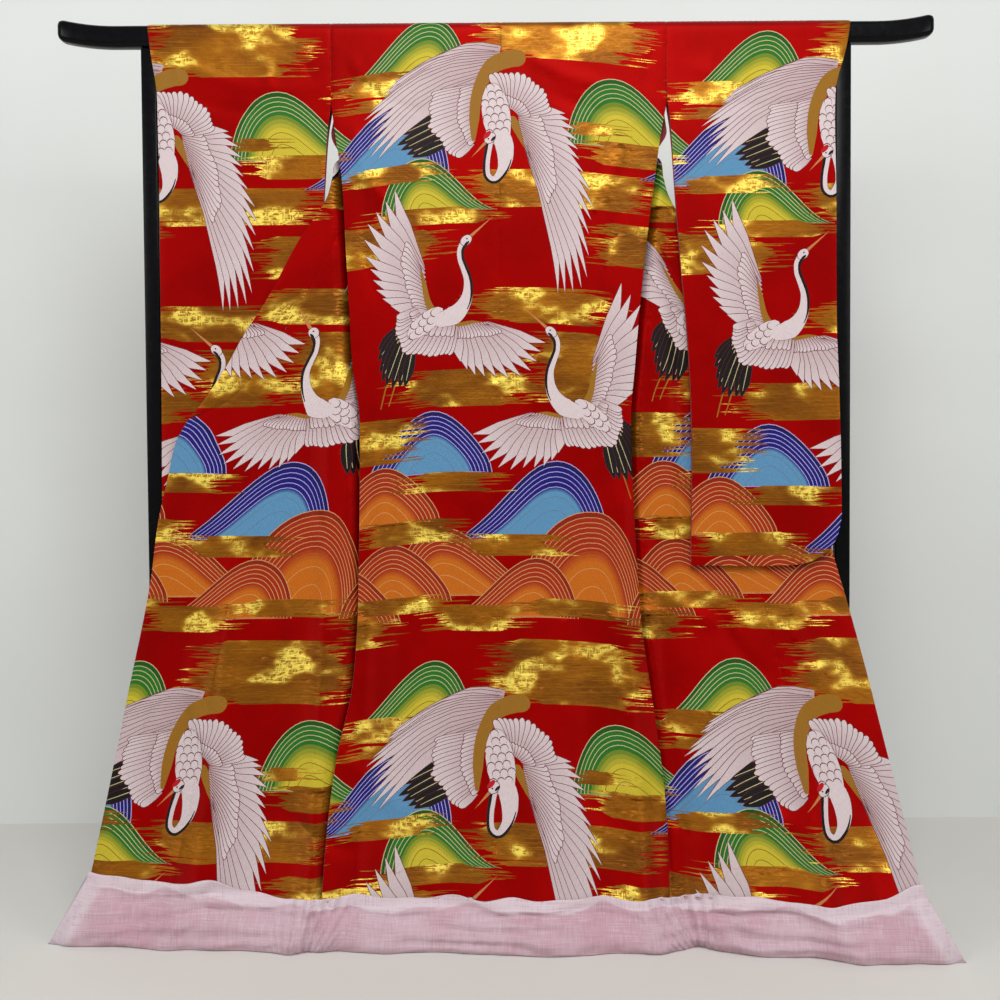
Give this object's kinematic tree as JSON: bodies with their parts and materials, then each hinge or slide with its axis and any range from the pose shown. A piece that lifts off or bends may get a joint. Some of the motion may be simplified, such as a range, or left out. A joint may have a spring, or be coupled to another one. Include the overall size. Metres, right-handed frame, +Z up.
{
  "type": "uchikake wedding kimono on a lacquered kimono stand",
  "caption": "Long-sleeved bridal over-kimono with a padded hem in a gauze cover, hung back outward by its sleeves on a black lacquered bar stand.",
  "frame": {"origin": "on the floor, under the middle of the bounding box", "axes": "+X along the bar, towards the end at a viewer's right when they face the garment's back; -Y the way the garment's back faces; +Z up"},
  "size_m": [1.66, 0.428, 1.702],
  "materials": {
    "silk_brocade": "red satin-ground silk brocade with woven gold mist, cranes and hills, lined in dark red",
    "hem_gauze": "open pale gauze over the red padded hem",
    "black_lacquer": "black lacquered wood, high gloss"
  },
  "bodies": {
    "root": {"back_left": "silk_brocade", "back_right": "silk_brocade", "front_left": "silk_brocade", "front_right": "silk_brocade", "okumi_left": "silk_brocade", "okumi_right": "silk_brocade", "collar_left": "silk_brocade", "collar_right": "silk_brocade", "collar_neck": "silk_brocade", "sleeve_left_back": "silk_brocade", "sleeve_left_front": "silk_brocade", "sleeve_right_back": "silk_brocade", "sleeve_right_front": "silk_brocade", "hem_cover": "hem_gauze", "top_bar": "black_lacquer", "upright_left": "black_lacquer", "upright_right": "black_lacquer", "lower_rail": "black_lacquer", "foot_left": "black_lacquer", "foot_right": "black_lacquer"}
  },
  "joints": []
}
